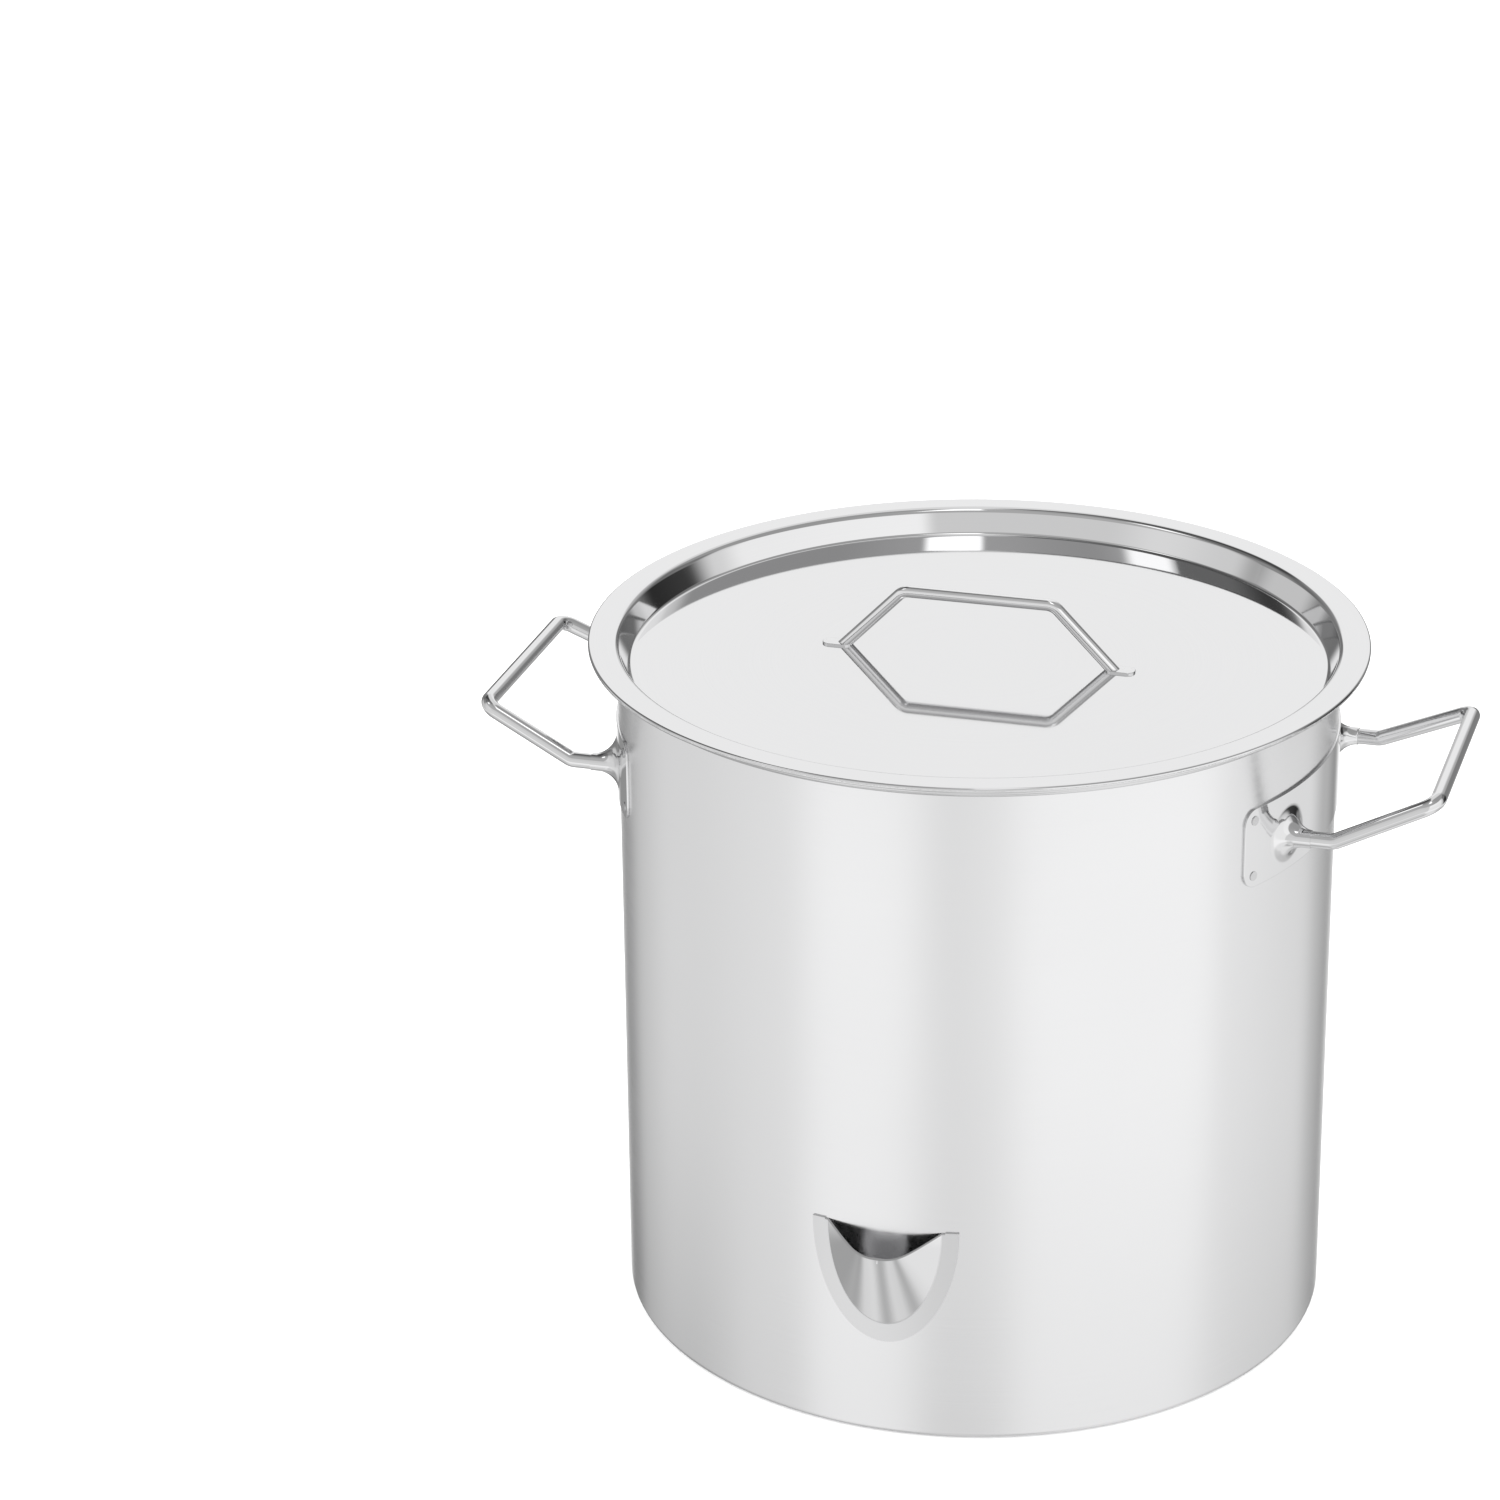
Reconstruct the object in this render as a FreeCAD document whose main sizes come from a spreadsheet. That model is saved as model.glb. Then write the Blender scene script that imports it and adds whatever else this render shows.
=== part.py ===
"""Stainless steel brew kettle, about 35 litres, with a lift-off lid.

Frame: millimetres, +Z up, origin at the centre of the base where it stands. The front, which
carries the pocket, faces -Y, and the two side handles point along +X and -X.
"""
import FreeCAD
import Part
import Sketcher
import math
import os

# name: value in millimetres or degrees
DIMENSIONS = {
    # kettle wall, one sheet with a turned-in foot and a rolled rim
    "wall_radius": 180.0,
    "wall_sheet": 1.0,
    "rim_top": 355.1,
    "curl_width": 8.0,
    "curl_height": 7.5,
    "curl_gap": 1.6,
    "curl_inner_bend": 5.0,
    "curl_outer_bend": 2.9,
    "foot_bend": 2.5,
    "foot_lip": 4.0,
    # base: inner pan, aluminium heat spreader and outer cap
    "pan_top": 7.0,
    "pan_sheet": 1.0,
    "pan_skirt_bottom": 2.8,
    "base_weld": 3.0,
    "spreader_radius": 171.0,
    "cap_radius": 175.9,
    "cap_sheet": 0.9,
    "cap_bend": 1.2,
    "cap_rim_top": 5.4,
    "fit_gap": 0.05,
    # lid: flat flange on the rim, sloping wall down to a flat panel
    "lid_sheet": 0.8,
    "lid_radius": 194.5,
    "lid_mouth_radius": 180.0,
    "lid_panel_radius": 173.9,
    "lid_depth": 13.0,
    "lid_flange_bend": 4.0,
    "lid_panel_bend": 2.2,
    "hem_width": 4.2,
    "hem_height": 2.6,
    "hem_bend": 1.1,
    # lid handle, round wire with flattened feet
    "lid_wire": 6.0,
    "lid_foot_reach": 69.0,
    "lid_bar_reach": 38.5,
    "lid_bar_rise": 31.3,
    "lid_wire_bend": 8.0,
    "tab_reach": 72.75,
    "tab_length": 15.0,
    "tab_width": 9.0,
    "tab_corner": 4.0,
    "tab_sheet": 1.0,
    # side handles, round wire
    "side_wire": 8.0,
    "leg_reach": 193.0,
    "leg_spread": 66.0,
    "leg_height": 293.0,
    "bar_reach": 240.4,
    "bar_spread": 59.8,
    "bar_height": 315.3,
    "side_wire_bend": 8.0,
    # handle plates, straps bent round the wall with a drawn collar for each leg
    "plate_sheet": 1.2,
    "plate_half_angle": 31.15,
    "plate_bottom": 274.5,
    "plate_top": 315.5,
    "plate_corner": 8.0,
    "collar_mouth": 182.2,
    "collar_lip": 0.35,
    "collar_blend": 11.0,
    # spot welds
    "spot_radius": 2.4,
    "spot_proud": 0.35,
    "spot_inset": 2.1,
    "spot_edge": 6.0,
    # front pocket, a pressed scoop inside a flat welded band
    "pocket_top": 115.0,
    "pocket_half_width": 30.2,
    "pocket_depth": 56.5,
    "band_width": 6.5,
    "band_sheet": 1.0,
    "nose_reach": 194.5,
    "nose_half_width": 10.4,
    "nose_drop": 10.6,
    "pocket_sheet": 1.15,
}
# how far a helper shape reaches past whatever it adds to or cuts, in millimetres
BEYOND = 10.0
# two lengths closer than this count as equal, in millimetres
SAME = 0.01

doc = FreeCAD.newDocument("brew_kettle")


class Size:
    """A number that also carries the sheet expression it comes from."""

    def __init__(self, value, text):
        self.value = value
        self.text = text

    def __add__(self, other):
        other = as_size(other)
        return Size(self.value + other.value, f"({self.text} + {other.text})")

    def __sub__(self, other):
        other = as_size(other)
        return Size(self.value - other.value, f"({self.text} - {other.text})")

    def __mul__(self, other):
        other = as_size(other)
        return Size(self.value * other.value, f"({self.text} * {other.text})")

    def __truediv__(self, other):
        other = as_size(other)
        return Size(self.value / other.value, f"({self.text} / {other.text})")

    def __neg__(self):
        return Size(-self.value, f"(-1 * {self.text})")


def as_size(number):
    if isinstance(number, Size):
        return number
    return Size(float(number), str(float(number)))


def sine(angle):
    return Size(math.sin(math.radians(angle.value)), f"sin({angle.text} * 1 deg)")


def root(number):
    return Size(math.sqrt(number.value), f"sqrt({number.text})")


def fill_sheet():
    """Puts every dimension in the sheet and returns them as Size values by name."""
    sheet = doc.addObject("Spreadsheet::Sheet", "Sizes")
    for row, (name, value) in enumerate(DIMENSIONS.items(), start=1):
        sheet.set(f"A{row}", name)
        sheet.set(f"B{row}", str(value))
        sheet.setAlias(f"B{row}", name)
    doc.recompute()
    return {name: Size(float(sheet.get(name)), f"Sizes.{name}") for name in DIMENSIONS}


dim = fill_sheet()
ZERO = as_size(0.0)
LID_TOP = dim["rim_top"] + dim["lid_sheet"]
PANEL_TOP = LID_TOP - dim["lid_depth"]
WALL_INSIDE = dim["wall_radius"] - dim["wall_sheet"]


def bind(target, path, size):
    target.setExpression(path, size.text)


def new_body(label):
    body = doc.addObject("PartDesign::Body", label)
    body.Label = label
    return body


def origin_plane(body, role):
    return next(item for item in body.Origin.OriginFeatures if item.Role == role)


def new_sketch(body, name, plane, shift=(None, None, None)):
    """A sketch on one of the body's own planes, moved by up to three bound distances."""
    sketch = body.newObject("Sketcher::SketchObject", name)
    sketch.AttachmentSupport = [(origin_plane(body, plane), "")]
    sketch.MapMode = "FlatFace"
    for axis, distance in zip("xyz", shift):
        if distance is not None:
            bind(sketch, f"AttachmentOffset.Base.{axis}", distance)
    return sketch


def constrain(sketch, kind, *items, size=None):
    """Adds one constraint, bound to its size where it has one."""
    if size is None:
        sketch.addConstraint(Sketcher.Constraint(kind, *items))
        return
    index = sketch.addConstraint(Sketcher.Constraint(kind, *items, size.value))
    bind(sketch, f"Constraints[{index}]", size)


def pin_point(sketch, geometry, position, x, y):
    constrain(sketch, "DistanceX", geometry, position, size=x)
    constrain(sketch, "DistanceY", geometry, position, size=y)


def flat(x, y):
    return FreeCAD.Vector(x, y, 0)


def bend_geometry(before, corner, after, bend):
    """Entry point, exit point, centre and turn direction of the arc that rounds a corner."""
    into = (corner - before).normalize()
    out = (after - corner).normalize()
    turn = into.x * out.y - into.y * out.x
    half = into.getAngle(out) / 2
    setback = bend * math.tan(half)
    entry = corner - into * setback
    exit_ = corner + out * setback
    side = flat(-into.y, into.x) * (1 if turn > 0 else -1)
    return entry, exit_, entry + side * bend, turn > 0


def outline(sketch, corners):
    """A closed outline through corners (x, y) or (x, y, bend), every one bound to the sheet."""
    count = len(corners)
    points = [flat(corner[0].value, corner[1].value) for corner in corners]
    bends = [corner[2] if len(corner) == 3 else None for corner in corners]
    shapes = []
    for i, bend in enumerate(bends):
        if bend is None:
            shapes.append((points[i], points[i], None, True))
        else:
            after = points[(i + 1) % count]
            shapes.append(bend_geometry(points[i - 1], points[i], after, bend.value))
    lines = []
    for i in range(count):
        run = Part.LineSegment(shapes[i][1], shapes[(i + 1) % count][0])
        lines.append(sketch.addGeometry(run, False))
    for i, (entry, exit_, centre, leftward) in enumerate(shapes):
        x, y = corners[i][0], corners[i][1]
        before, after = lines[i - 1], lines[i]
        if centre is None:
            constrain(sketch, "Coincident", before, 2, after, 1)
            pin_point(sketch, after, 1, x, y)
            continue
        first, last = (entry, exit_) if leftward else (exit_, entry)
        start = math.atan2(first.y - centre.y, first.x - centre.x)
        stop = math.atan2(last.y - centre.y, last.x - centre.x)
        stop += 2 * math.pi if stop < start else 0
        circle = Part.Circle(centre, FreeCAD.Vector(0, 0, 1), bends[i].value)
        arc = sketch.addGeometry(Part.ArcOfCircle(circle, start, stop), False)
        constrain(sketch, "Tangent", before, 2, arc, 1 if leftward else 2)
        constrain(sketch, "Tangent", arc, 2 if leftward else 1, after, 1)
        constrain(sketch, "Radius", arc, size=bends[i])
        vertex = sketch.addGeometry(Part.Point(points[i]), True)
        pin_point(sketch, vertex, 1, x, y)
        constrain(sketch, "PointOnObject", vertex, 1, before)
        constrain(sketch, "PointOnObject", vertex, 1, after)


def disc_outline(sketch, x, y, radius):
    circle = Part.Circle(flat(x.value, y.value), FreeCAD.Vector(0, 0, 1), radius.value)
    index = sketch.addGeometry(circle, False)
    pin_point(sketch, index, 3, x, y)
    constrain(sketch, "Radius", index, size=radius)


def half_ellipse(sketch, half_width, depth):
    """The lower half of an upright ellipse about the sketch's origin, closed by its width."""
    side = flat(half_width.value, 0)
    ellipse = Part.Ellipse(flat(0, -depth.value), side, flat(0, 0))
    start = ellipse.parameter(flat(-half_width.value, 0))
    stop = ellipse.parameter(side)
    stop += 2 * math.pi if stop < start else 0
    arc = sketch.addGeometry(Part.ArcOfEllipse(ellipse, start, stop), False)
    sketch.exposeInternalGeometry(arc)
    major, minor = arc + 1, arc + 2
    tip = 1 if sketch.Geometry[major].StartPoint.y < 0 else 2
    flank = 1 if sketch.Geometry[minor].StartPoint.x > 0 else 2
    pin_point(sketch, arc, 3, ZERO, ZERO)
    pin_point(sketch, major, tip, ZERO, -depth)
    constrain(sketch, "DistanceX", minor, flank, size=half_width)
    width = sketch.addGeometry(Part.LineSegment(side, flat(-half_width.value, 0)), False)
    constrain(sketch, "Coincident", width, 1, arc, 2)
    constrain(sketch, "Coincident", width, 2, arc, 1)
    constrain(sketch, "DistanceY", arc, 1, size=ZERO)
    constrain(sketch, "DistanceY", arc, 2, size=ZERO)


def revolved_body(label, corners):
    """A body turned once round Z from an outline of radius and height."""
    body = new_body(label)
    sketch = new_sketch(body, f"{label}_outline", "XZ_Plane")
    outline(sketch, corners)
    turned = body.newObject("PartDesign::Revolution", f"{label}_turned")
    turned.Profile = sketch
    turned.ReferenceAxis = (sketch, ["V_Axis"])
    turned.Angle = 360
    sketch.Visibility = False
    return body


def kettle_wall():
    outside = dim["wall_radius"]
    sheet = dim["wall_sheet"]
    top = dim["rim_top"]
    bottom = top - dim["curl_height"]
    inner_bend = dim["curl_inner_bend"]
    outer_bend = dim["curl_outer_bend"]
    roll_outside = WALL_INSIDE + dim["curl_width"]
    roll_end = outside + dim["curl_gap"]
    lip = outside - dim["foot_lip"]
    return revolved_body("kettle_wall", [
        (lip, ZERO),
        (outside, ZERO, dim["foot_bend"]),
        (outside, top - sheet, inner_bend - sheet),
        (roll_outside - sheet, top - sheet, outer_bend - sheet),
        (roll_outside - sheet, bottom + sheet, outer_bend - sheet),
        (roll_end, bottom + sheet),
        (roll_end, bottom),
        (roll_outside, bottom, outer_bend),
        (roll_outside, top, outer_bend),
        (WALL_INSIDE, top, inner_bend),
        (WALL_INSIDE, sheet, dim["foot_bend"] - sheet),
        (lip, sheet),
    ])


def base_pan():
    outside = WALL_INSIDE - dim["fit_gap"]
    inside = outside - dim["pan_sheet"]
    top = dim["pan_top"]
    return revolved_body("base_pan", [
        (ZERO, top - dim["pan_sheet"]),
        (inside, top - dim["pan_sheet"]),
        (inside, dim["pan_skirt_bottom"]),
        (outside, dim["pan_skirt_bottom"]),
        (outside, top),
        (ZERO, top),
    ])


def base_weld():
    outside = WALL_INSIDE - dim["fit_gap"]
    leg = dim["base_weld"]
    return revolved_body("base_weld", [
        (outside - leg, dim["pan_top"]),
        (outside, dim["pan_top"]),
        (outside, dim["pan_top"] + leg),
    ])


def heat_spreader():
    top = dim["pan_top"] - dim["pan_sheet"]
    return revolved_body("heat_spreader", [
        (ZERO, dim["cap_sheet"]),
        (dim["spreader_radius"], dim["cap_sheet"]),
        (dim["spreader_radius"], top),
        (ZERO, top),
    ])


def base_cap():
    outside = dim["cap_radius"]
    sheet = dim["cap_sheet"]
    return revolved_body("base_cap", [
        (ZERO, ZERO),
        (outside, ZERO, dim["cap_bend"]),
        (outside, dim["cap_rim_top"]),
        (outside - sheet, dim["cap_rim_top"]),
        (outside - sheet, sheet),
        (ZERO, sheet),
    ])


def lid_pan():
    sheet = dim["lid_sheet"]
    mouth = dim["lid_mouth_radius"]
    panel = dim["lid_panel_radius"]
    edge = dim["lid_radius"]
    hem_inside = edge - dim["hem_width"]
    hem_bottom = LID_TOP - dim["hem_height"]
    # the sloping wall keeps its thickness, so its outside corners stand this much further out
    run = mouth - panel
    drop = dim["lid_depth"]
    outward = sheet * (root(run * run + drop * drop) - run) / drop
    return revolved_body("lid_pan", [
        (ZERO, PANEL_TOP),
        (panel, PANEL_TOP, dim["lid_panel_bend"]),
        (mouth, LID_TOP, dim["lid_flange_bend"]),
        (edge, LID_TOP, dim["hem_bend"]),
        (edge, hem_bottom, dim["hem_bend"]),
        (hem_inside, hem_bottom),
        (hem_inside, LID_TOP - sheet),
        (mouth + outward, LID_TOP - sheet, dim["lid_flange_bend"] - sheet),
        (panel + outward, PANEL_TOP - sheet, dim["lid_panel_bend"] + sheet),
        (ZERO, PANEL_TOP - sheet),
    ])


def cut_inside_wall(body, gap):
    """Trims a body to the outside of the wall, a gap clear of it."""
    sketch = new_sketch(body, f"{body.Label}_wall_circle", "XY_Plane")
    disc_outline(sketch, ZERO, ZERO, dim["wall_radius"] + gap)
    trim = body.newObject("PartDesign::Pocket", f"{body.Label}_wall_trim")
    trim.Profile = sketch
    trim.Type = "ThroughAll"
    trim.Reversed = True
    sketch.Visibility = False
    return trim


def strap(body, inside, outside):
    """A sheet bent round the wall, padded up from its section and rounded at its corners."""
    half = dim["plate_half_angle"]
    section = new_sketch(
        body, f"{body.Label}_strap_section", "XY_Plane", (None, None, dim["plate_bottom"]))
    angle = math.radians(half.value)
    up = FreeCAD.Vector(0, 0, 1)
    arcs = []
    for radius in (inside, outside):
        circle = Part.Circle(flat(0, 0), up, radius.value)
        arc = section.addGeometry(Part.ArcOfCircle(circle, -angle, angle), False)
        constrain(section, "Radius", arc, size=radius)
        pin_point(section, arc, 3, ZERO, ZERO)
        arcs.append(arc)
    for position, side in ((1, -1), (2, 1)):
        toward = flat(math.cos(angle), side * math.sin(angle))
        end = section.addGeometry(
            Part.LineSegment(toward * inside.value, toward * outside.value), False)
        for end_point, arc, radius in ((1, arcs[0], inside), (2, arcs[1], outside)):
            constrain(section, "Coincident", end, end_point, arc, position)
            constrain(section, "DistanceY", end, end_point, size=sine(half) * radius * side)
    pad = body.newObject("PartDesign::Pad", f"{body.Label}_strap")
    pad.Profile = section
    bind(pad, "Length", dim["plate_top"] - dim["plate_bottom"])
    section.Visibility = False
    doc.recompute()

    rounded = body.newObject("PartDesign::Fillet", f"{body.Label}_corners")
    sheet = outside.value - inside.value
    corners = edge_names(pad.Shape, lambda edge: abs(edge.Length - sheet) < SAME)
    rounded.Base = (pad, corners)
    bind(rounded, "Radius", dim["plate_corner"])


def edge_names(shape, wanted):
    """Names of the edges that the test picks, as a fillet's base lists them."""
    return [f"Edge{number}" for number, edge in enumerate(shape.Edges, start=1) if wanted(edge)]


def leg_rod(body, kind, name, side, reach, radius):
    """A round rod about one leg's axis, added or cut from inside the wall out to a reach."""
    shift = (None, dim["leg_height"], dim["leg_spread"] * -side)
    section = new_sketch(body, f"{body.Label}_{name}_section", "XZ_Plane", shift)
    root_x = WALL_INSIDE - 2 * BEYOND
    outline(section, [
        (root_x, ZERO),
        (reach, ZERO),
        (reach, radius),
        (root_x, radius),
    ])
    rod = body.newObject(kind, f"{body.Label}_{name}")
    rod.Profile = section
    rod.ReferenceAxis = (section, ["H_Axis"])
    rod.Angle = 360
    section.Visibility = False
    doc.recompute()
    return rod


def handle_plate(label, turn):
    """A strap round the wall with two drawn collars, made facing +X and then turned."""
    body = new_body(label)
    inside = dim["wall_radius"] + dim["fit_gap"]
    outside = inside + dim["plate_sheet"]
    strap(body, inside, outside)

    bore = dim["side_wire"] / 2 + dim["fit_gap"]
    mouth = dim["collar_mouth"]
    lip = bore + dim["collar_lip"]
    legs = dim["leg_height"].value
    for name, side in (("near", -1), ("far", 1)):
        collar = leg_rod(body, "PartDesign::Revolution", f"collar_{name}", side, mouth, lip)
        axis_y = side * dim["leg_spread"].value

        def at_foot(edge):
            point = edge.valueAt((edge.FirstParameter + edge.LastParameter) / 2)
            from_wall = math.hypot(point.x, point.y) - outside.value
            from_leg = math.hypot(point.y - axis_y, point.z - legs) - lip.value
            return abs(from_wall) < SAME and abs(from_leg) < SAME

        blend = body.newObject("PartDesign::Fillet", f"{label}_blend_{name}")
        blend.Base = (collar, edge_names(collar.Shape, at_foot))
        bind(blend, "Radius", dim["collar_blend"])
        doc.recompute()
    for name, side in (("near", -1), ("far", 1)):
        leg_rod(body, "PartDesign::Groove", f"bore_{name}", side, mouth + BEYOND, bore)
    cut_inside_wall(body, dim["fit_gap"])
    body.Placement = FreeCAD.Placement(
        FreeCAD.Vector(), FreeCAD.Rotation(FreeCAD.Vector(0, 0, 1), turn))
    return body


def bent_path(points, bend):
    """Straight runs through the points with a tangent arc at each inner point."""
    edges = []
    start = points[0]
    for before, corner, after in zip(points, points[1:], points[2:]):
        into = (corner - before).normalize()
        out = (after - corner).normalize()
        half = into.getAngle(out) / 2
        setback = bend * math.tan(half)
        entry = corner - into * setback
        leave = corner + out * setback
        inward = (out - into).normalize()
        middle = corner + inward * (bend / math.cos(half) - bend)
        edges.append(Part.LineSegment(start, entry).toShape())
        edges.append(Part.Arc(entry, middle, leave).toShape())
        start = leave
    edges.append(Part.LineSegment(start, points[-1]).toShape())
    return Part.Wire(edges)


def bent_wire(points, bend, diameter):
    path = bent_path(points, bend)
    along = (points[1] - points[0]).normalize()
    section = Part.Wire([Part.makeCircle(diameter / 2, points[0], along)])
    return path.makePipeShell([section], True, True)


def wall_cylinder():
    radius = dim["wall_radius"].value + dim["fit_gap"].value
    return Part.makeCylinder(radius, dim["rim_top"].value)


def side_handle(label, turn):
    """One bent wire: two level legs from the wall, then a raised grip bar."""
    legs = dim["leg_height"].value
    spread = dim["leg_spread"].value
    bar = FreeCAD.Vector(dim["bar_reach"].value, dim["bar_spread"].value, dim["bar_height"].value)
    buried = FreeCAD.Vector(WALL_INSIDE.value - 2 * BEYOND, spread, legs)
    knee = FreeCAD.Vector(dim["leg_reach"].value, spread, legs)
    far_side = [buried, knee, bar]
    near_side = [FreeCAD.Vector(point.x, -point.y, point.z) for point in reversed(far_side)]
    wire = bent_wire(far_side + near_side, dim["side_wire_bend"].value, dim["side_wire"].value)
    handle = doc.addObject("Part::Feature", label)
    handle.Label = label
    handle.Shape = wire.cut(wall_cylinder())
    handle.Placement = FreeCAD.Placement(
        FreeCAD.Vector(), FreeCAD.Rotation(FreeCAD.Vector(0, 0, 1), turn))
    return handle


def lid_handle():
    """One bent wire standing on the panel, its two ends flattened into welded tabs."""
    panel = PANEL_TOP.value
    foot = dim["lid_foot_reach"].value
    bar = dim["lid_bar_reach"].value
    rise = dim["lid_bar_rise"].value
    run_on = dim["lid_wire"].value / rise
    buried = FreeCAD.Vector(-foot - (foot - bar) * run_on, 0, panel - rise * run_on)
    corner = FreeCAD.Vector(-bar, 0, panel + rise)
    left = [buried, corner]
    right = [FreeCAD.Vector(-point.x, point.y, point.z) for point in reversed(left)]
    wire = bent_wire(left + right, dim["lid_wire_bend"].value, dim["lid_wire"].value)
    below = Part.makeCylinder(
        dim["lid_radius"].value, 2 * BEYOND, FreeCAD.Vector(0, 0, panel - 2 * BEYOND))
    shape = wire.cut(below)
    length = dim["tab_length"].value
    width = dim["tab_width"].value
    sheet = dim["tab_sheet"].value
    for side in (-1, 1):
        middle = side * dim["tab_reach"].value
        corner = FreeCAD.Vector(middle - length / 2, -width / 2, panel)
        tab = Part.makeBox(length, width, sheet, corner)
        upright = [edge for edge in tab.Edges if abs(edge.Length - sheet) < SAME]
        shape = shape.fuse(tab.makeFillet(dim["tab_corner"].value, upright))
    handle = doc.addObject("Part::Feature", "lid_handle")
    handle.Label = "lid_handle"
    handle.Shape = shape.removeSplitter()
    return handle


def spot_group(label, spots):
    """Round weld marks as one group: each spot is (foot point, outward direction)."""
    marks = []
    for number, (point, outward) in enumerate(spots, start=1):
        mark = doc.addObject("Part::Cylinder", f"{label}_{number}")
        bind(mark, "Radius", dim["spot_radius"])
        bind(mark, "Height", dim["spot_proud"])
        turn = FreeCAD.Rotation(FreeCAD.Vector(0, 0, 1), outward)
        mark.Placement = FreeCAD.Placement(point, turn)
        marks.append(mark)
    group = doc.addObject("Part::Compound", label)
    group.Label = label
    group.Links = marks
    return group


def plate_welds(label, middle_angle):
    """Two spot welds near each end of a handle plate."""
    radius = dim["wall_radius"].value + dim["fit_gap"].value + dim["plate_sheet"].value
    reach = dim["plate_half_angle"].value - dim["spot_inset"].value
    edge = dim["spot_edge"].value
    spots = []
    for offset in (-reach, reach):
        angle = math.radians(middle_angle + offset)
        outward = FreeCAD.Vector(math.cos(angle), math.sin(angle), 0)
        for height in (dim["plate_bottom"].value + edge, dim["plate_top"].value - edge):
            spots.append((outward * radius + FreeCAD.Vector(0, 0, height), outward))
    return spot_group(label, spots)


def lid_welds():
    panel = PANEL_TOP.value
    reach = dim["lid_foot_reach"].value + dim["tab_length"].value / 2
    top = panel + dim["tab_sheet"].value
    up = FreeCAD.Vector(0, 0, 1)
    spots = [(FreeCAD.Vector(side * reach, 0, top), up) for side in (-1, 1)]
    return spot_group("lid_handle_welds", spots)


def scoop(body, kind, name, inward):
    """The scoop's volume, lofted from inside the wall out to the nose and shifted inward."""
    top = dim["pocket_top"]
    half_width = dim["pocket_half_width"]
    depth = dim["pocket_depth"]
    nose = dim["nose_reach"]
    wall = dim["wall_radius"]
    behind = wall - BEYOND
    corner = root(wall * wall - half_width * half_width)
    wider = (half_width - dim["nose_half_width"]) / (nose - corner) * (corner - behind)
    deeper = (depth - dim["nose_drop"]) / (nose - wall) * (wall - behind)
    wall_section = new_sketch(body, f"{name}_wall_section", "XZ_Plane", (None, top, behind - inward))
    half_ellipse(wall_section, half_width + wider, depth + deeper)
    nose_section = new_sketch(body, f"{name}_nose_section", "XZ_Plane", (None, top, nose - inward))
    half_ellipse(nose_section, dim["nose_half_width"], dim["nose_drop"])
    loft = body.newObject(kind, name)
    loft.Profile = wall_section
    loft.Sections = [nose_section]
    loft.Ruled = True
    wall_section.Visibility = False
    nose_section.Visibility = False
    doc.recompute()


def front_pocket():
    """A scoop pressed out of a flat band that hugs the wall, open at the top."""
    body = new_body("front_pocket")
    top = dim["pocket_top"]
    half_width = dim["pocket_half_width"]
    depth = dim["pocket_depth"]
    band = dim["band_width"]
    wall = dim["wall_radius"]
    face = wall + dim["fit_gap"] + dim["band_sheet"]

    blank = new_sketch(body, "pocket_blank_outline", "XZ_Plane", (None, top, wall - BEYOND))
    half_ellipse(blank, half_width + band, depth + band)
    slab = body.newObject("PartDesign::Pad", "pocket_blank")
    slab.Profile = blank
    slab.Length = 2 * BEYOND
    blank.Visibility = False

    beyond = new_sketch(body, "pocket_band_face", "XZ_Plane")
    outline(beyond, [
        (face, top - depth - band - BEYOND),
        (face + 2 * BEYOND, top - depth - band - BEYOND),
        (face + 2 * BEYOND, top + BEYOND),
        (face, top + BEYOND),
    ])
    turned = body.newObject("PartDesign::Groove", "pocket_band_turned")
    turned.Profile = beyond
    turned.ReferenceAxis = (beyond, ["V_Axis"])
    turned.Angle = 360
    beyond.Visibility = False
    doc.recompute()

    scoop(body, "PartDesign::AdditiveLoft", "pocket_scoop", ZERO)
    scoop(body, "PartDesign::SubtractiveLoft", "pocket_hollow", dim["pocket_sheet"])
    cut_inside_wall(body, dim["fit_gap"])

    corner = root(wall * wall - half_width * half_width)
    fall = dim["nose_drop"] / (dim["nose_reach"] - corner)
    past_nose = dim["nose_reach"] + BEYOND
    lip = new_sketch(body, "pocket_lip", "YZ_Plane")
    outline(lip, [
        (-corner, top),
        (-corner, top + BEYOND),
        (-past_nose, top + BEYOND),
        (-past_nose, top - fall * (past_nose - corner)),
    ])
    trimmed = body.newObject("PartDesign::Pocket", "pocket_lip_cut")
    trimmed.Profile = lip
    trimmed.Midplane = True
    bind(trimmed, "Length", half_width * 2)
    lip.Visibility = False
    return body


def write_parts(parts):
    """Stops on any object that failed, then writes every sub-part to its own file."""
    doc.recompute()
    for item in doc.Objects:
        if "Invalid" in item.State or "Error" in item.State:
            raise RuntimeError(f"{item.Label} did not compute: {item.State}")
    os.makedirs("parts", exist_ok=True)
    for item in parts:
        shape = item.Shape
        if shape.isNull() or not shape.isValid():
            raise RuntimeError(f"{item.Label} has no valid shape")
        shape.exportStep(f"parts/{item.Label}.step")
        print(f"{item.Label}: {len(shape.Solids)} solid(s), {shape.Volume / 1000:.2f} cm3")


write_parts([
    kettle_wall(),
    base_pan(),
    base_weld(),
    heat_spreader(),
    base_cap(),
    lid_pan(),
    handle_plate("handle_plate_right", 0),
    handle_plate("handle_plate_left", 180),
    side_handle("side_handle_right", 0),
    side_handle("side_handle_left", 180),
    plate_welds("plate_welds_right", 0),
    plate_welds("plate_welds_left", 180),
    front_pocket(),
    lid_handle(),
    lid_welds(),
])
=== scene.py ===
"""Looks for the brew kettle: steel finishes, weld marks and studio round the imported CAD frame."""

import math

import bmesh
import bpy
from mathutils import Matrix, Vector


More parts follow.
